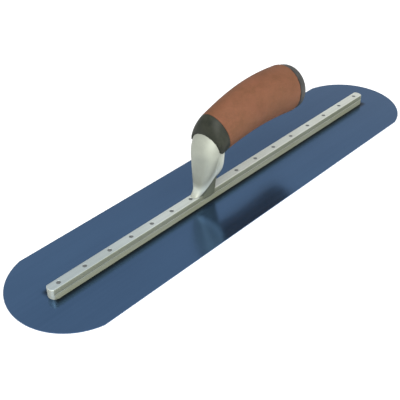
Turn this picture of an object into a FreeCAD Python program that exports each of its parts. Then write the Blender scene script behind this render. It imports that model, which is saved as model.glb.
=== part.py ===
"""Steel finishing trowel with rounded blade ends, a riveted mounting bar and a soft curved handle.

Units are millimetres.  The origin is the centre of the blade's underside, +X runs along the blade
towards the handle's free end, and +Z points up from the working face.
"""
import FreeCAD, Part
import math
import os

# Blade: a flat spring-steel plate, 18 in by 4 in, with arc ends a little flatter than a half circle
BLADE_LENGTH = 457.2
BLADE_WIDTH = 101.6
BLADE_THICKNESS = 0.7
BLADE_END_RADIUS = 52.35

# Mounting bar: an aluminium extrusion with flared lower flanks and a fine groove along each side
BAR_LENGTH = 398.0
BAR_TOP_Z = 9.9
BAR_BASE_HALF = 5.5
BAR_WAIST_HALF = 4.6
BAR_UPPER_HALF = 4.4
BAR_WAIST_Z = 4.7
BAR_GROOVE_WIDTH = 0.5
BAR_GROOVE_DEPTH = 0.4
BAR_EDGE_RADIUS = 0.9
BAR_END_RADIUS = 5.0

# Rivets: solid steel, countersunk flush in the blade and spun flush in the top of the bar
RIVET_RADIUS = 1.7
RIVET_HEAD_RADIUS = 2.3
RIVET_TOP_DROP = 0.15
RIVET_MOUTH = 0.25
RIVET_FRONT_FIRST = -48.5
RIVET_FRONT_PITCH = 22.6
RIVET_FRONT_COUNT = 5
RIVET_TIP_PITCH = 25.1
RIVET_TIP_COUNT = 2
RIVET_REAR_FIRST = 9.8
RIVET_REAR_PITCH = 25.75
RIVET_REAR_COUNT = 8

# Shank screws: countersunk under the bar, driven up into the foot of the shank
FOOT_SCREWS_X = (-37.0, -26.0)
FOOT_SCREW_RADIUS = 2.5
FOOT_SCREW_HEAD_RADIUS = 4.6
FOOT_SCREW_HEAD_HEIGHT = 2.6
FOOT_SCREW_TOP_Z = 22.0
HEX_SOCKET_ACROSS_FLATS = 3.0

# Shank: control rings as (x, z, lean from upright, half depth, half width, squareness)
SHIELD_RINGS = (
    (-32.6, 6.5, 90.0, 10.2, 5.9, 3.2),
    (-31.5, 14.0, 90.0, 10.3, 6.2, 3.2),
    (-30.2, 22.0, 90.0, 10.4, 8.1, 3.4),
    (-28.8, 31.0, 90.0, 10.8, 10.5, 3.4),
    (-27.8, 40.0, 86.0, 10.9, 12.6, 3.1),
    (-28.8, 47.8, 55.0, 12.2, 14.7, 2.4),
    (-27.4, 53.1, 8.0, 12.6, 15.8, 1.95),
)
STEM_RINGS = (
    (-31.3, 6.5, 90.0, 10.8, 5.9, 2.4),
    (-30.6, 14.0, 90.0, 10.2, 5.2, 2.8),
    (-29.1, 22.0, 90.0, 10.4, 5.8, 3.0),
    (-27.9, 31.0, 90.0, 10.6, 7.6, 3.2),
    (-27.9, 40.0, 90.0, 9.8, 9.0, 3.0),
)
RIB_RINGS = (
    (-26.8, 20.0, 90.0, 4.2, 4.8, 2.8),
    (-25.4, 27.0, 90.0, 5.0, 10.0, 3.6),
    (-25.2, 33.5, 90.0, 4.4, 12.8, 4.5),
    (-25.4, 40.0, 90.0, 4.1, 14.8, 5.0),
    (-25.5, 47.0, 90.0, 4.0, 15.6, 5.0),
    (-25.5, 54.0, 90.0, 4.0, 15.7, 5.0),
)
# Underside of the shield in side view: an arc through three (x, z) points, from the bar to the collar
SHIELD_UNDERSIDE = ((-44.5, 9.6), (-30.5, 21.8), (-21.0, 44.0))
# Toe: rings that spread from the front of the neck down onto the bar
TOE_RINGS = (
    (-34.0, 17.0, 90.0, 7.5, 5.6, 3.0),
    (-34.5, 13.0, 90.0, 8.2, 5.6, 3.0),
    (-35.5, 10.9, 90.0, 9.2, 5.0, 3.2),
    (-36.5, 10.0, 90.0, 10.4, 4.6, 3.4),
    (-36.8, 9.2, 90.0, 10.8, 4.3, 3.4),
)

# Handle line: an arc from the collar to the end cap, with leaning end rings
GRIP_FRONT_X = -17.7
GRIP_FRONT_Z = 61.6
GRIP_REAR_X = 70.1
GRIP_REAR_Z = 67.1
GRIP_ARCH = 4.9
GRIP_FRONT_LEAN = 14.6
GRIP_REAR_LEAN = -5.4
GRIP_HALF_HEIGHTS = (18.8, 21.6, 21.7)
GRIP_HALF_WIDTHS = (16.6, 18.6, 21.0)
GRIP_STATIONS = 7
CORE_SCALE = 0.74

# Collar: from its open front rim to the front ring of the grip, cut on a slant below the neck
RIM_RING = (-29.0, 52.6, 8.0, 13.5, 16.8, 1.95)
COLLAR_MID_RING = (-25.95, 58.45, 11.3, 16.65, 17.95, 1.95)
COLLAR_SLANT = ((-29.6, 53.2), (-12.9, 43.2))

# Tang and handle screw: one straight line from the shank's neck to the rear of the core
TANG_START = (-27.0, 57.9)
TANG_LEAN = 5.3
TANG_LENGTH = 49.0
TANG_HALF_HEIGHTS = (6.6, 5.6)
TANG_HALF_WIDTHS = (6.0, 5.2)
TANG_SQUARENESS = 4.0
SCREW_RADIUS = 3.0
SCREW_CLEARANCE = 0.3
SCREW_ENGAGEMENT = 20.0
SCREW_HEAD_RADIUS = 5.0
SCREW_HEAD_HEIGHT = 6.0
SCREW_SOCKET_ACROSS_FLATS = 5.0
SCREW_SOCKET_DEPTH = 3.0
SEAT_DISTANCE = 84.0
SEAT_BORE_RADIUS = 7.5
WASHER_RADIUS = 7.0
WASHER_THICKNESS = 1.6

# End cap: a groove ring, then a band and a dome given as (distance behind the grip, scale)
CAP_SLOPE = -10.0
CAP_GROOVE_WIDTH = 1.3
CAP_GROOVE_SCALE = 0.92
CAP_RINGS = (
    (1.3, 0.955), (4.0, 0.965), (7.2, 0.95), (9.8, 0.9), (11.3, 0.76), (12.0, 0.5), (12.1, 0.2),
)
CAP_PLUG_RADIUS = 7.3
CAP_PLUG_LENGTH = 5.0

RING_POLES = 24
FAR = 300.0
UP = FreeCAD.Vector(0, 0, 1)
ALONG = FreeCAD.Vector(1, 0, 0)


def ring_poles(x, z, lean, half_height, half_width, squareness=2.0):
    """Control points round a superellipse, centred on (x, 0, z) and leaning forward by lean degrees."""
    lean = math.radians(lean)
    power = 2.0 / squareness
    swell = 3.0 / (2.0 + math.cos(2.0 * math.pi / RING_POLES))
    poles = []
    for index in range(RING_POLES):
        angle = 2.0 * math.pi * index / RING_POLES
        across = swell * half_width * math.copysign(abs(math.cos(angle)) ** power, math.cos(angle))
        up = swell * half_height * math.copysign(abs(math.sin(angle)) ** power, math.sin(angle))
        poles.append(FreeCAD.Vector(x - up * math.sin(lean), across, z + up * math.cos(lean)))
    return poles


def skin(rings):
    """A smooth solid whose side is drawn by a row of control rings, with a flat face on each end ring."""
    degree = min(3, len(rings) - 1)
    spans = len(rings) - degree
    side = Part.BSplineSurface()
    side.buildFromPolesMultsKnots(
        [ring_poles(*values) for values in rings],
        [degree + 1] + [1] * (spans - 1) + [degree + 1],
        [1] * (RING_POLES + 1),
        list(range(spans + 1)),
        list(range(RING_POLES + 1)),
        False, True, degree, 3,
    )
    ends = [side.uIso(0), side.uIso(spans)]
    faces = [Part.Face(Part.Wire([end.toShape()])) for end in ends] + [side.toShape()]
    shell = Part.makeShell(faces)
    shell.sewShape()
    solid = Part.makeSolid(shell)
    if solid.Volume < 0:
        solid.reverse()
    return solid


def through_three(values, station):
    """The parabola through values at stations 0, 0.5 and 1."""
    first, middle, last = values
    bend = 2.0 * (first - 2.0 * middle + last)
    slope = last - first - bend
    return first + slope * station + bend * station * station


def handle_section(station, scale=1.0):
    """The handle's section at a station from 0 (collar) to 1 (end cap)."""
    chord_x = GRIP_REAR_X - GRIP_FRONT_X
    chord_z = GRIP_REAR_Z - GRIP_FRONT_Z
    chord = math.hypot(chord_x, chord_z)
    radius = (chord * chord / 4.0 + GRIP_ARCH * GRIP_ARCH) / (2.0 * GRIP_ARCH)
    half_angle = math.asin(chord / 2.0 / radius)
    angle = (2.0 * station - 1.0) * half_angle
    along = chord / 2.0 + radius * math.sin(angle)
    above = radius * (math.cos(angle) - math.cos(half_angle))
    x = GRIP_FRONT_X + (along * chord_x - above * chord_z) / chord
    z = GRIP_FRONT_Z + (along * chord_z + above * chord_x) / chord
    lean = GRIP_FRONT_LEAN + (GRIP_REAR_LEAN - GRIP_FRONT_LEAN) * station
    half_height = scale * through_three(GRIP_HALF_HEIGHTS, station)
    half_width = scale * through_three(GRIP_HALF_WIDTHS, station)
    return (x, z, lean, half_height, half_width, 2.0)


def handle_body(scale=1.0):
    """The handle's body from ring to ring, at a scale across its line."""
    last = GRIP_STATIONS - 1
    return skin([handle_section(index / last, scale) for index in range(GRIP_STATIONS)])


def on_tang(distance):
    """The point at a distance along the straight line of the tang and the handle screw."""
    lean = math.radians(TANG_LEAN)
    x, z = TANG_START
    return FreeCAD.Vector(x + distance * math.cos(lean), 0, z + distance * math.sin(lean))


def tang_cylinder(radius, start, end):
    """A cylinder round the tang's line between two distances."""
    direction = on_tang(1.0) - on_tang(0.0)
    return Part.makeCylinder(radius, end - start, on_tang(start), direction)


def hex_socket(across_flats, depth, base, direction):
    """A six-sided recess that starts at base and runs along direction."""
    corner = across_flats / math.sqrt(3.0)
    points = []
    for index in range(7):
        angle = math.radians(60.0 * index)
        points.append(FreeCAD.Vector(corner * math.cos(angle), corner * math.sin(angle), 0))
    prism = Part.Face(Part.makePolygon(points)).extrude(UP * depth)
    prism.Placement = FreeCAD.Placement(base, FreeCAD.Rotation(UP, direction))
    return prism


def rivet_positions():
    """Places of the rivets along the bar, from its front tip to its rear end."""
    front = [RIVET_FRONT_FIRST - RIVET_FRONT_PITCH * index for index in range(RIVET_FRONT_COUNT)]
    tip = [front[-1] - RIVET_TIP_PITCH * (index + 1) for index in range(RIVET_TIP_COUNT)]
    rear = [RIVET_REAR_FIRST + RIVET_REAR_PITCH * index for index in range(RIVET_REAR_COUNT)]
    return sorted(tip + front + rear)


def rivet(x, top_z):
    """A rivet: a countersunk head in the blade and a straight shank up to top_z."""
    head = Part.makeCone(
        RIVET_HEAD_RADIUS, RIVET_RADIUS, BLADE_THICKNESS, FreeCAD.Vector(x, 0, 0), UP
    )
    shank = Part.makeCylinder(
        RIVET_RADIUS, top_z - BLADE_THICKNESS, FreeCAD.Vector(x, 0, BLADE_THICKNESS), UP
    )
    return head.fuse(shank).removeSplitter()


def blade_rivets():
    """All rivets as separate solids."""
    return Part.makeCompound([rivet(x, BAR_TOP_Z - RIVET_TOP_DROP) for x in rivet_positions()])


def blade():
    """The plate with straight sides, arc ends and countersunk rivet holes."""
    half_width = BLADE_WIDTH / 2.0
    tip = BLADE_LENGTH / 2.0
    arc_centre = tip - BLADE_END_RADIUS
    corner = arc_centre + math.sqrt(BLADE_END_RADIUS ** 2 - half_width ** 2)
    outline = []
    for side in (1, -1):
        start = FreeCAD.Vector(side * corner, -side * half_width, 0)
        middle = FreeCAD.Vector(side * tip, 0, 0)
        end = FreeCAD.Vector(side * corner, side * half_width, 0)
        opposite = FreeCAD.Vector(-side * corner, side * half_width, 0)
        outline.append(Part.Arc(start, middle, end).toShape())
        outline.append(Part.makeLine(end, opposite))
    plate = Part.Face(Part.Wire(outline)).extrude(UP * BLADE_THICKNESS)
    return plate.cut(blade_rivets())


def bar_profile():
    """The bar's half outline on +Y, from the base up to the top, as (y, z) points."""
    groove_low = BAR_WAIST_Z
    groove_high = BAR_WAIST_Z + BAR_GROOVE_WIDTH
    groove_floor = BAR_UPPER_HALF - BAR_GROOVE_DEPTH
    return [
        (BAR_BASE_HALF, BLADE_THICKNESS),
        (BAR_WAIST_HALF, groove_low),
        (groove_floor, groove_low),
        (groove_floor, groove_high),
        (BAR_UPPER_HALF, groove_high),
        (BAR_UPPER_HALF, BAR_TOP_Z),
    ]


def bar_blank():
    """The extruded bar with its long top edges rounded and its ends eased, before drilling."""
    half = bar_profile()
    outline = half + [(-y, z) for y, z in reversed(half)]
    front = -BAR_LENGTH / 2.0
    points = [FreeCAD.Vector(front, y, z) for y, z in outline + outline[:1]]
    bar = Part.Face(Part.makePolygon(points)).extrude(ALONG * BAR_LENGTH)
    top_edges = [edge for edge in bar.Edges if is_long_top_edge(edge)]
    bar = bar.makeFillet(BAR_EDGE_RADIUS, top_edges)
    return bar.common(rounded_ends())


def is_long_top_edge(edge):
    """True for the two edges that run along the top of the bar."""
    on_top = edge.BoundBox.ZMin > BAR_TOP_Z - 0.01
    return on_top and edge.BoundBox.XLength > BAR_LENGTH / 2.0


def rounded_ends():
    """A block as wide as the bar's base, with rounded corners and top edges, that eases the bar's ends."""
    block = Part.makeBox(
        BAR_LENGTH, 2.0 * BAR_BASE_HALF, BAR_TOP_Z,
        FreeCAD.Vector(-BAR_LENGTH / 2.0, -BAR_BASE_HALF, 0),
    )
    upright = [edge for edge in block.Edges if edge.BoundBox.ZLength > BAR_TOP_Z / 2.0]
    block = block.makeFillet(BAR_END_RADIUS, upright)
    top = [edge for edge in block.Edges if edge.BoundBox.ZMin > BAR_TOP_Z - 0.01]
    return block.makeFillet(BAR_EDGE_RADIUS, top)


def foot_screw(x):
    """A countersunk screw, head down, under the bar at x."""
    base = FreeCAD.Vector(x, 0, BLADE_THICKNESS)
    head = Part.makeCone(
        FOOT_SCREW_HEAD_RADIUS, FOOT_SCREW_RADIUS, FOOT_SCREW_HEAD_HEIGHT, base, UP
    )
    shaft = Part.makeCylinder(FOOT_SCREW_RADIUS, FOOT_SCREW_TOP_Z - BLADE_THICKNESS, base, UP)
    return head.fuse(shaft).removeSplitter()


def shank_screws():
    """Both screws as separate solids, each with a hexagon socket in its head."""
    screws = []
    for x in FOOT_SCREWS_X:
        base = FreeCAD.Vector(x, 0, BLADE_THICKNESS)
        socket = hex_socket(HEX_SOCKET_ACROSS_FLATS, FOOT_SCREW_HEAD_HEIGHT / 2.0, base, UP)
        screws.append(foot_screw(x).cut(socket))
    return Part.makeCompound(screws)


def mounting_bar():
    """The bar with its rivet holes, slightly opened at the top, and its screw holes."""
    bar = bar_blank()
    for x in rivet_positions():
        hole = Part.makeCylinder(RIVET_RADIUS, BAR_TOP_Z, FreeCAD.Vector(x, 0, 0), UP)
        mouth = Part.makeCone(
            RIVET_RADIUS, RIVET_RADIUS + RIVET_MOUTH, RIVET_MOUTH,
            FreeCAD.Vector(x, 0, BAR_TOP_Z - RIVET_MOUTH), UP,
        )
        bar = bar.cut(hole.fuse(mouth))
    for x in FOOT_SCREWS_X:
        bar = bar.cut(foot_screw(x))
    return bar


def side_prism(outline, half_width):
    """A prism across the trowel, from a closed outline of edges in the plane y = 0."""
    face = Part.Face(Part.Wire(outline))
    face.translate(FreeCAD.Vector(0, -half_width, 0))
    return face.extrude(FreeCAD.Vector(0, 2.0 * half_width, 0))


def side_arc(start, middle, end):
    """An arc in the plane y = 0 through three (x, z) points."""
    points = [FreeCAD.Vector(x, 0, z) for x, z in (start, middle, end)]
    return Part.Arc(*points).toShape()


def side_path(*corners):
    """Straight edges in the plane y = 0 along a row of (x, z) corners."""
    points = [FreeCAD.Vector(x, 0, z) for x, z in corners]
    return [Part.makeLine(start, end) for start, end in zip(points, points[1:])]


def round_above(start, end):
    """Straight edges in the plane y = 0 that lead from end back to start, far out and over both."""
    front_x = start[0] - FAR
    rear_x = end[0] + FAR
    top_z = end[1] + FAR
    return side_path(end, (rear_x, end[1]), (rear_x, top_z), (front_x, top_z), (front_x, start[1]), start)


def shield():
    """The broad front of the neck: the flared body in front of and above its curved underside."""
    start, middle, end = SHIELD_UNDERSIDE
    above = side_prism([side_arc(start, middle, end)] + round_above(start, end), FAR)
    return skin(SHIELD_RINGS).common(above)


def tang():
    """The tapered square tang, from inside the neck to its rear end."""
    sections = []
    for distance, size in ((0.0, 0), (TANG_LENGTH, 1)):
        point = on_tang(distance)
        sections.append(
            (point.x, point.z, TANG_LEAN, TANG_HALF_HEIGHTS[size], TANG_HALF_WIDTHS[size], TANG_SQUARENESS)
        )
    return skin(sections)


def shank_blank():
    """Shield, stem, rear rib, toe and tang as one casting, before it is fitted over the bar."""
    return shield().fuse([skin(STEM_RINGS), skin(RIB_RINGS), skin(TOE_RINGS), tang()])


def shank():
    """The casting with its saddle over the bar and its tapped holes."""
    casting = shank_blank().cut(bar_blank())
    for x in FOOT_SCREWS_X:
        casting = casting.cut(foot_screw(x))
    return casting.cut(tang_cylinder(SCREW_RADIUS, TANG_LENGTH - SCREW_ENGAGEMENT, TANG_LENGTH + 1.0))


def front_collar():
    """The rigid collar between the neck and the grip, open at the front for the shank."""
    outer = skin([RIM_RING, COLLAR_MID_RING, handle_section(0.0)])
    start, end = COLLAR_SLANT
    above = side_prism(side_path(start, end) + round_above(start, end), FAR)
    return outer.common(above).cut(shank_blank())


def handle_core():
    """The rigid core of the handle, with a pocket for the tang and a seat for the screw."""
    core = handle_body(CORE_SCALE).cut(shank_blank())
    bore = tang_cylinder(SCREW_RADIUS + SCREW_CLEARANCE, TANG_LENGTH - 1.0, SEAT_DISTANCE)
    seat = tang_cylinder(SEAT_BORE_RADIUS, SEAT_DISTANCE, SEAT_DISTANCE + FAR)
    return core.cut([bore, seat])


def grip_sleeve():
    """The soft sleeve round the core."""
    return handle_body().cut(handle_body(CORE_SCALE))


def screw_washer():
    """The flat washer under the screw's head."""
    disc = tang_cylinder(WASHER_RADIUS, SEAT_DISTANCE, SEAT_DISTANCE + WASHER_THICKNESS)
    hole = tang_cylinder(
        SCREW_RADIUS + SCREW_CLEARANCE, SEAT_DISTANCE - 1.0, SEAT_DISTANCE + WASHER_THICKNESS + 1.0
    )
    return disc.cut(hole)


def handle_screw():
    """The long socket-head screw that pulls the handle onto the tang."""
    head_start = SEAT_DISTANCE + WASHER_THICKNESS
    head_end = head_start + SCREW_HEAD_HEIGHT
    shaft = tang_cylinder(SCREW_RADIUS, TANG_LENGTH - SCREW_ENGAGEMENT, head_start)
    head = tang_cylinder(SCREW_HEAD_RADIUS, head_start, head_end)
    direction = on_tang(0.0) - on_tang(1.0)
    socket = hex_socket(SCREW_SOCKET_ACROSS_FLATS, SCREW_SOCKET_DEPTH, on_tang(head_end), direction)
    return shaft.fuse(head).removeSplitter().cut(socket)


def cap_section(offset, scale):
    """A section of the end cap at an offset behind the rear ring of the grip."""
    x, z, lean, half_height, half_width, squareness = handle_section(1.0)
    slope = math.radians(CAP_SLOPE)
    return (
        x + offset * math.cos(slope), z + offset * math.sin(slope), lean,
        half_height * scale, half_width * scale, squareness,
    )


def end_cap():
    """The rounded cap, with a recessed groove ring beside the grip and a plug in the core's seat."""
    groove = skin([cap_section(0.0, CAP_GROOVE_SCALE), cap_section(CAP_GROOVE_WIDTH, CAP_GROOVE_SCALE)])
    body = skin([cap_section(offset, scale) for offset, scale in CAP_RINGS])
    rear_x = handle_section(1.0)[0]
    seat_end = (rear_x - TANG_START[0]) / math.cos(math.radians(TANG_LEAN))
    plug = tang_cylinder(CAP_PLUG_RADIUS, seat_end - CAP_PLUG_LENGTH, seat_end + CAP_GROOVE_WIDTH)
    return groove.fuse([body, plug]).removeSplitter()


def main():
    """Write one STEP file for each piece."""
    os.makedirs("parts", exist_ok=True)
    pieces = (
        blade, mounting_bar, blade_rivets, shank, shank_screws, front_collar,
        handle_core, grip_sleeve, end_cap, handle_screw, screw_washer,
    )
    for make in pieces:
        shape = make()
        shape.exportStep("parts/" + make.__name__ + ".step")
        print(make.__name__, len(shape.Solids), shape.isValid(), round(shape.Volume, 1))


main()
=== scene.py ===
import math

import bpy
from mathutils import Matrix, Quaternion, Vector


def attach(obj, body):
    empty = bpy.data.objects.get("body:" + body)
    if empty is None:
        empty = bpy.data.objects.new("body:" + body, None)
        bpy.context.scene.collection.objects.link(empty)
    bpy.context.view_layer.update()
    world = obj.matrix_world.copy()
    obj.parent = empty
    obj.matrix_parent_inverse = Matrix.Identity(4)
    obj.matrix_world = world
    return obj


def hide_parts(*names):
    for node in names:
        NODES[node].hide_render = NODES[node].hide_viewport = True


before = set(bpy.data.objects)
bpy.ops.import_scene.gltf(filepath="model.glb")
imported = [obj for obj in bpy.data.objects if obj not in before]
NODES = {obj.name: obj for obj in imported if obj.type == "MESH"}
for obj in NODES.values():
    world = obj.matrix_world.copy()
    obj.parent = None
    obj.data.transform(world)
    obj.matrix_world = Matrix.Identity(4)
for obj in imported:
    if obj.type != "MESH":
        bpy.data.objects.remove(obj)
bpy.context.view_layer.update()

# Camera, in metres and degrees, in the frame of the CAD model
CAMERA_TARGET = Vector((-0.0347, 0.0024, 0.0))
CAMERA_AZIMUTH = -45.88
CAMERA_ELEVATION = 36.37
CAMERA_ROLL = -1.10
CAMERA_DISTANCE = 0.6807
CAMERA_LENS_MM = 71.12
CAMERA_CLIP_START = 0.01
SENSOR_MM = 36.0

# Directions in the frame of the CAD model, and the two axes of a view from the side
ORIGIN = (0, 0, 0)
ALONG = (1, 0, 0)
FORWARD = (-1, 0, 0)
ACROSS = (0, 1, 0)
UP = (0, 0, 1)
SIDE_VIEW = (1, 0, 1)

# Below, each pair called FADE or BLEND is the start and the end of a soft step, in metres unless said
BAR_HALF_LENGTH = max(corner[0] for corner in NODES["mounting_bar"].bound_box)
BAR_HALF_WIDTH = max(corner[1] for corner in NODES["mounting_bar"].bound_box)
# The painted shade on the blade, in the corner beside the bar, fades out beside the bar and beyond its
# ends
PAINTED_SHADE_FADE = (BAR_HALF_WIDTH + 0.0011, BAR_HALF_WIDTH + 0.0060)
PAINTED_SHADE_END_FADE = (BAR_HALF_LENGTH - 0.0030, BAR_HALF_LENGTH + 0.0025)
# Painted light on the bar: its sides turn pale at both ends, a painted highlight, and its top, painted
# pale as if lit, turns darker blue-grey towards the front, a painted gradient of light
BAR_END_BLEND = (BAR_HALF_LENGTH - 0.0032, BAR_HALF_LENGTH - 0.0005)
BAR_TOP_BLEND = (-0.05, 0.20)
# Seen from the side, the shield's underside is an arc, with a painted highlight on the rim inside it and
# painted shade on the web outside
SHIELD_CENTRE = (-0.0684, 0, 0.05115)
SHIELD_RADIUS = 0.0479
RIM_BLEND = (SHIELD_RADIUS - 0.0080, SHIELD_RADIUS - 0.0020)
WEB_BLEND = (SHIELD_RADIUS, SHIELD_RADIUS + 0.0009)
# Heights where the painted shade on the casting's foot, near the bar, and the dimmer toe of its painted
# rim highlight, give way to the paler rest
FOOT_HEIGHT_BLEND = (0.010, 0.034)
TOE_HEIGHT_BLEND = (0.009, 0.017)
# From the middle of the grip's rear end, how far along the cap's axis the painted shade in its groove ends
GRIP_REAR = (0.0701, 0, 0.0671)
CAP_AXIS = (0.9956, 0, 0.0941)
GROOVE_BLEND = (0.0016, 0.0024)
# How far a face looks up, from 1 down to -1: the top of the bar, painted lighter than its shaded sides,
# and the underside of the casting, painted as shade
TOP_FACE_BLEND = (0.3, 0.8)
UNDERSIDE_BLEND = (-0.5, -0.1)

# Studio: softboxes as (name, place, aim, side in metres, watts)
SOFTBOXES = (
    ("key", (-2.2, -0.8, 2.1), (0, 0, 0.03), 1.8, 70.0),
    ("side", (0.5, -2.4, 1.3), (0, 0, 0.03), 1.4, 22.0),
    ("fill", (-0.9, -1.2, 2.5), (0, 0, 0), 1.3, 42.0),
)
SURROUND_COLOUR = (0.97, 0.985, 1.0, 1)
SURROUND_STRENGTH = 0.72
FLOOR_SIDE = 8.0
FLOOR_Z = -0.0002


class Shader:
    """One material and the short calls that build its node tree."""

    def __init__(self, name, **values):
        self.material = bpy.data.materials.new(name)
        self.material.use_nodes = True
        self.tree = self.material.node_tree
        self.surface = self.tree.nodes["Principled BSDF"]
        self.place = self.add("ShaderNodeTexCoord").outputs["Object"]
        for socket, value in values.items():
            self.surface.inputs[socket.replace("_", " ")].default_value = value

    def add(self, kind, **settings):
        node = self.tree.nodes.new(kind)
        for name, value in settings.items():
            setattr(node, name, value)
        return node

    def join(self, output, target):
        self.tree.links.new(output, target)

    def noise(self, scale, detail=3.0, roughness=0.55, per_axis=(1, 1, 1)):
        """Noise from 0 to 1 with about scale features in a metre, times per_axis along each axis."""
        mapping = self.add("ShaderNodeMapping")
        mapping.inputs["Scale"].default_value = per_axis
        texture = self.add("ShaderNodeTexNoise")
        texture.inputs["Scale"].default_value = scale
        texture.inputs["Detail"].default_value = detail
        texture.inputs["Roughness"].default_value = roughness
        self.join(self.place, mapping.inputs["Vector"])
        self.join(mapping.outputs["Vector"], texture.inputs["Vector"])
        return texture.outputs["Fac"]

    def ramp(self, value, low, high, start=0.35, end=0.65):
        """Blend from low to high, which are numbers or colours, while value goes from start to end."""
        node = self.add("ShaderNodeValToRGB")
        for element, place, colour in zip(node.color_ramp.elements, (start, end), (low, high)):
            element.position = place
            element.color = (*colour, 1) if isinstance(colour, tuple) else (colour, colour, colour, 1)
        self.join(value, node.inputs["Fac"])
        return node.outputs["Color"]

    def mix(self, factor, first, second):
        """Blend from first to second by factor; each of the three is a socket or a plain value."""
        node = self.add("ShaderNodeMix", data_type="RGBA")
        for socket, value in ((node.inputs[0], factor), (node.inputs[6], first), (node.inputs[7], second)):
            if isinstance(value, bpy.types.NodeSocket):
                self.join(value, socket)
            elif isinstance(value, tuple):
                socket.default_value = (*value, 1)
            else:
                socket.default_value = value
        return node.outputs[2]

    def bump(self, height, depth_m, strength):
        """Add relief of a height texture, depth_m deep, on top of any relief that is there already."""
        node = self.add("ShaderNodeBump")
        node.inputs["Strength"].default_value = strength
        node.inputs["Distance"].default_value = depth_m
        self.join(height, node.inputs["Height"])
        normal = self.surface.inputs["Normal"]
        if normal.is_linked:
            self.join(normal.links[0].from_socket, node.inputs["Normal"])
        self.join(node.outputs["Normal"], normal)

    def distance(self, centre, along):
        """Distance in metres from centre, measured only along the axes that are 1 in along."""
        offset = self.add("ShaderNodeVectorMath", operation="SUBTRACT")
        flat = self.add("ShaderNodeVectorMath", operation="MULTIPLY")
        length = self.add("ShaderNodeVectorMath", operation="LENGTH")
        offset.inputs[1].default_value = centre
        flat.inputs[1].default_value = along
        self.join(self.place, offset.inputs[0])
        self.join(offset.outputs["Vector"], flat.inputs[0])
        self.join(flat.outputs["Vector"], length.inputs[0])
        return length.outputs["Value"]

    def past(self, origin, direction):
        """How far a point lies beyond origin in a unit direction, in metres."""
        offset = self.add("ShaderNodeVectorMath", operation="SUBTRACT")
        product = self.add("ShaderNodeVectorMath", operation="DOT_PRODUCT")
        offset.inputs[1].default_value = origin
        product.inputs[1].default_value = direction
        self.join(self.place, offset.inputs[0])
        self.join(offset.outputs["Vector"], product.inputs[0])
        return product.outputs["Value"]

    def step(self, value, start_and_end):
        """A soft step from 0 to 1 while value goes from start to end."""
        start, end = start_and_end
        node = self.add("ShaderNodeMapRange", interpolation_type="SMOOTHSTEP")
        node.inputs["From Min"].default_value = start
        node.inputs["From Max"].default_value = end
        self.join(value, node.inputs["Value"])
        return node.outputs["Result"]

    def facing_up(self):
        """1 on faces that look straight up, 0 on upright ones and -1 on undersides."""
        split = self.add("ShaderNodeSeparateXYZ")
        self.join(self.add("ShaderNodeNewGeometry").outputs["Normal"], split.inputs["Vector"])
        return split.outputs["Z"]

    def colour(self, output):
        self.join(output, self.surface.inputs["Base Color"])

    def roughness(self, output):
        self.join(output, self.surface.inputs["Roughness"])


def blued_steel():
    """Blued spring steel: faint lines along the blade, and painted shade in the corner beside the bar."""
    shader = Shader("blued_steel", Metallic=0.9)
    lines = shader.noise(scale=1.0, detail=3.0, per_axis=(4, 700, 700))
    clouds = shader.noise(scale=8.0, detail=2.0, per_axis=(0.6, 1.6, 1))
    smears = shader.noise(scale=26.0, detail=4.0, roughness=0.6, per_axis=(0.25, 1.5, 1))
    base = shader.ramp(clouds, (0.056, 0.110, 0.208), (0.068, 0.133, 0.246), start=0.3, end=0.7)
    base = shader.mix(0.10, base, shader.ramp(lines, (0.045, 0.100, 0.185), (0.090, 0.165, 0.295)))
    # Painted shade: a near-black tone in the corner where the blade meets the bar, standing in for shadow
    painted_shade = (0.014, 0.024, 0.038)
    with_painted_shade = shader.mix(shader.step(shader.distance(ORIGIN, ACROSS), PAINTED_SHADE_FADE), painted_shade, base)
    shader.colour(shader.mix(shader.step(shader.distance(ORIGIN, ALONG), PAINTED_SHADE_END_FADE), with_painted_shade, base))
    shader.roughness(shader.mix(0.4, shader.ramp(smears, 0.15, 0.25), shader.ramp(lines, 0.14, 0.24)))
    shader.bump(lines, depth_m=0.000008, strength=0.4)
    return shader.material


def extruded_aluminium():
    """Drawn bar: lines along it, olive sides darkened as painted shade, and a top and ends painted paler
    as painted light.
    """
    shader = Shader("extruded_aluminium", Metallic=0.35)
    lines = shader.noise(scale=1.0, detail=4.0, per_axis=(7, 2200, 2200))
    blotches = shader.noise(scale=60.0, detail=4.0, per_axis=(0.5, 1, 1))
    # Painted shade: the sides are much darker than the top; painted light: the top is pale at the rear and
    # darker blue-grey at the front
    sides = shader.ramp(lines, (0.215, 0.222, 0.142), (0.275, 0.288, 0.195))
    rear = shader.ramp(lines, (0.46, 0.48, 0.44), (0.56, 0.58, 0.53))
    front = shader.ramp(lines, (0.245, 0.290, 0.305), (0.32, 0.37, 0.385))
    top = shader.mix(shader.step(shader.past(ORIGIN, FORWARD), BAR_TOP_BLEND), rear, front)
    # Painted highlight: the sides turn pale at the bar's ends
    ends = (0.52, 0.53, 0.44)
    sides = shader.mix(shader.step(shader.distance(ORIGIN, ALONG), BAR_END_BLEND), sides, ends)
    # Faces that look up get the painted light of the top, upright ones the painted shade of the sides
    base = shader.mix(shader.step(shader.facing_up(), TOP_FACE_BLEND), sides, top)
    shader.colour(shader.mix(0.18, base, shader.ramp(blotches, (0.25, 0.26, 0.19), (0.42, 0.45, 0.43))))
    shader.roughness(shader.ramp(lines, 0.36, 0.52))
    shader.bump(lines, depth_m=0.00004, strength=0.5)
    return shader.material


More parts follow.
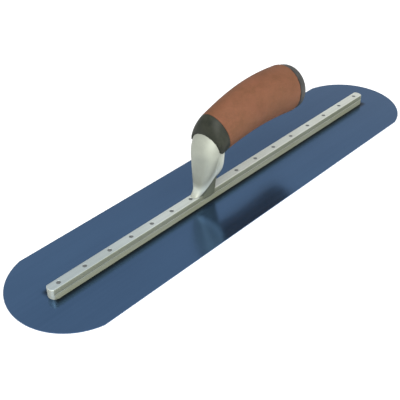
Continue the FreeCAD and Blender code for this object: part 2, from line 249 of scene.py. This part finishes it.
def cast_aluminium():
    """Satin casting with a fine grain, a painted highlight along the shield's rim and painted shade in the
    web below it.
    """
    shader = Shader("cast_aluminium", Metallic=0.4)
    underside = (0.10, 0.105, 0.085)
    foot = (0.205, 0.212, 0.172)
    toe = (0.30, 0.315, 0.265)
    rim = (0.54, 0.57, 0.50)
    web = (0.135, 0.145, 0.098)
    grain = shader.noise(scale=1400.0, detail=2.0)
    patches = shader.noise(scale=60.0, detail=4.0)
    base = shader.ramp(patches, (0.275, 0.288, 0.240), (0.325, 0.342, 0.283))
    base = shader.mix(0.22, base, shader.ramp(grain, (0.235, 0.248, 0.208), (0.40, 0.42, 0.355)))
    # Painted shade: faces of the casting that look down are darkened
    base = shader.mix(shader.step(shader.facing_up(), UNDERSIDE_BLEND), underside, base)
    height = shader.past(ORIGIN, UP)
    # Painted shade: the casting darkens towards its foot on the bar
    base = shader.mix(shader.step(height, FOOT_HEIGHT_BLEND), foot, base)
    # Painted highlight: a pale band along the shield's rim, dimmer at its toe near the bar
    rim_highlight = shader.mix(shader.step(height, TOE_HEIGHT_BLEND), toe, rim)
    reach = shader.distance(SHIELD_CENTRE, SIDE_VIEW)
    base = shader.mix(shader.step(reach, RIM_BLEND), base, rim_highlight)
    # Painted shade: the web below the shield's crease is darkened, standing in for shadow under the
    # overhang
    shader.colour(shader.mix(shader.step(reach, WEB_BLEND), base, web))
    shader.roughness(shader.ramp(patches, 0.47, 0.57))
    shader.bump(patches, depth_m=0.0002, strength=0.25)
    shader.bump(grain, depth_m=0.00005, strength=0.45)
    return shader.material


def rivet_steel():
    shader = Shader("rivet_steel", Metallic=1.0)
    grain = shader.noise(scale=900.0, detail=3.0)
    shader.colour(shader.ramp(grain, (0.16, 0.17, 0.17), (0.27, 0.28, 0.28)))
    shader.roughness(shader.ramp(grain, 0.38, 0.60))
    shader.bump(grain, depth_m=0.00005, strength=0.5)
    return shader.material


def screw_steel():
    shader = Shader("screw_steel", Metallic=1.0)
    grain = shader.noise(scale=700.0, detail=3.0)
    shader.colour(shader.ramp(grain, (0.40, 0.41, 0.42), (0.52, 0.53, 0.54)))
    shader.roughness(shader.ramp(grain, 0.25, 0.42))
    return shader.material


def black_plastic():
    shader = Shader("black_plastic", Specular_IOR_Level=0.22)
    grain = shader.noise(scale=1600.0, detail=2.0)
    scuffs = shader.noise(scale=120.0, detail=5.0, roughness=0.7)
    shader.colour(shader.ramp(scuffs, (0.010, 0.012, 0.007), (0.024, 0.026, 0.017)))
    shader.roughness(shader.ramp(scuffs, 0.44, 0.58))
    shader.bump(grain, depth_m=0.00003, strength=0.35)
    return shader.material


def cap_plastic():
    shader = Shader("cap_plastic", Specular_IOR_Level=0.35)
    grain = shader.noise(scale=1300.0, detail=2.0)
    scuffs = shader.noise(scale=150.0, detail=5.0, roughness=0.7)
    base = shader.ramp(scuffs, (0.026, 0.026, 0.023), (0.045, 0.044, 0.040))
    # Painted shade: the recessed groove between grip and cap is painted near-black
    groove = (0.010, 0.009, 0.006)
    shader.colour(shader.mix(shader.step(shader.past(GRIP_REAR, CAP_AXIS), GROOVE_BLEND), groove, base))
    shader.roughness(shader.ramp(scuffs, 0.42, 0.60))
    shader.bump(grain, depth_m=0.00004, strength=0.4)
    return shader.material


def grip_rubber():
    """Warm brown rubber, marbled from red-brown to tan, with a fine open grain."""
    shader = Shader("grip_rubber", Specular_IOR_Level=0.3)
    marble = shader.noise(scale=22.0, detail=4.0, roughness=0.6)
    flecks = shader.noise(scale=95.0, detail=4.0, roughness=0.65)
    grain = shader.noise(scale=900.0, detail=3.0, roughness=0.65)
    pores = shader.noise(scale=2600.0, detail=1.0)
    base = shader.ramp(marble, (0.122, 0.051, 0.021), (0.152, 0.051, 0.026), start=0.38, end=0.62)
    tan = shader.ramp(flecks, (0.102, 0.041, 0.014), (0.170, 0.067, 0.032), start=0.38, end=0.62)
    speckle = shader.ramp(grain, (0.086, 0.032, 0.012), (0.190, 0.076, 0.038), start=0.4, end=0.6)
    shader.colour(shader.mix(0.22, shader.mix(0.45, base, tan), speckle))
    shader.roughness(shader.ramp(grain, 0.62, 0.80))
    shader.bump(grain, depth_m=0.00012, strength=0.5)
    shader.bump(pores, depth_m=0.00004, strength=0.4)
    return shader.material


def core_plastic():
    shader = Shader("core_plastic")
    grain = shader.noise(scale=500.0, detail=2.0)
    shader.colour(shader.ramp(grain, (0.02, 0.02, 0.02), (0.04, 0.04, 0.04)))
    shader.roughness(shader.ramp(grain, 0.5, 0.65))
    return shader.material


def finish_nodes():
    """Give a procedural material to each CAD node that is shown by its own mesh."""
    screws = screw_steel()
    finishes = {
        "blade": blued_steel(),
        "mounting_bar": extruded_aluminium(),
        "blade_rivets": rivet_steel(),
        "shank_screws": screws,
        "handle_core": core_plastic(),
        "end_cap": cap_plastic(),
        "handle_screw": screws,
        "screw_washer": screws,
    }
    for node, material in finishes.items():
        NODES[node].data.materials.clear()
        NODES[node].data.materials.append(material)


def settled_mesh(source, modifiers):
    """The mesh of a temporary copy of an object after a row of modifiers, each (kind, settings)."""
    copy = bpy.data.objects.new("copy", source.data.copy())
    bpy.context.scene.collection.objects.link(copy)
    for kind, settings in modifiers:
        modifier = copy.modifiers.new(kind, kind)
        for name, value in settings.items():
            setattr(modifier, name, value)
    mesh = bpy.data.meshes.new_from_object(copy.evaluated_get(bpy.context.evaluated_depsgraph_get()))
    bpy.data.objects.remove(copy)
    return mesh


def softened(node, name, material, voxel, rounds):
    """Stand a piece in for a node: its solid in even small faces, eased by rounds of smoothing."""
    mesh = settled_mesh(NODES[node], (
        ("REMESH", {"mode": "VOXEL", "voxel_size": voxel, "use_smooth_shade": True}),
        ("SMOOTH", {"factor": 0.5, "iterations": rounds}),
    ))
    mesh.name = name
    mesh.materials.clear()
    mesh.materials.append(material)
    piece = bpy.data.objects.new(name, mesh)
    bpy.context.scene.collection.objects.link(piece)
    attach(piece, "root")
    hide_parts(node)


def add_floor():
    shader = Shader("floor_white")
    shader.colour(shader.ramp(shader.noise(scale=3.0), (0.86, 0.86, 0.86), (0.88, 0.88, 0.88)))
    shader.roughness(shader.ramp(shader.noise(scale=5.0), 0.85, 0.9))
    bpy.ops.mesh.primitive_plane_add(size=FLOOR_SIDE, location=(0, 0, FLOOR_Z))
    floor = bpy.context.object
    floor.name = "floor"
    floor.data.materials.append(shader.material)


def add_softbox(name, place, aim, side, watts):
    """A square area light at a place, turned towards aim."""
    light = bpy.data.lights.new(name, "AREA")
    light.shape = "SQUARE"
    light.size = side
    light.energy = watts
    lamp = bpy.data.objects.new(name, light)
    bpy.context.scene.collection.objects.link(lamp)
    lamp.location = place
    lamp.rotation_euler = (Vector(aim) - Vector(place)).to_track_quat("-Z", "Y").to_euler()


def add_lights():
    world = bpy.data.worlds.new("studio")
    world.use_nodes = True
    background = world.node_tree.nodes["Background"]
    background.inputs["Color"].default_value = SURROUND_COLOUR
    background.inputs["Strength"].default_value = SURROUND_STRENGTH
    bpy.context.scene.world = world
    for softbox in SOFTBOXES:
        add_softbox(*softbox)


def add_camera():
    azimuth, elevation = math.radians(CAMERA_AZIMUTH), math.radians(CAMERA_ELEVATION)
    back = Vector((
        math.sin(azimuth) * math.cos(elevation),
        -math.cos(azimuth) * math.cos(elevation),
        math.sin(elevation),
    ))
    camera = bpy.data.cameras.new("camera")
    camera.lens = CAMERA_LENS_MM
    camera.sensor_width = SENSOR_MM
    camera.clip_start = CAMERA_CLIP_START
    holder = bpy.data.objects.new("camera", camera)
    bpy.context.scene.collection.objects.link(holder)
    turn = back.to_track_quat("Z", "Y") @ Quaternion((0, 0, 1), math.radians(CAMERA_ROLL))
    holder.location = CAMERA_TARGET + back * CAMERA_DISTANCE
    holder.rotation_euler = turn.to_euler()
    bpy.context.scene.camera = holder


finish_nodes()
softened("shank", "shank_casting", cast_aluminium(), voxel=0.00036, rounds=10)
softened("front_collar", "collar_moulding", black_plastic(), voxel=0.00035, rounds=8)
softened("grip_sleeve", "grip_moulding", grip_rubber(), voxel=0.0006, rounds=4)
add_floor()
add_lights()
add_camera()
bpy.context.scene.view_settings.view_transform = "Standard"
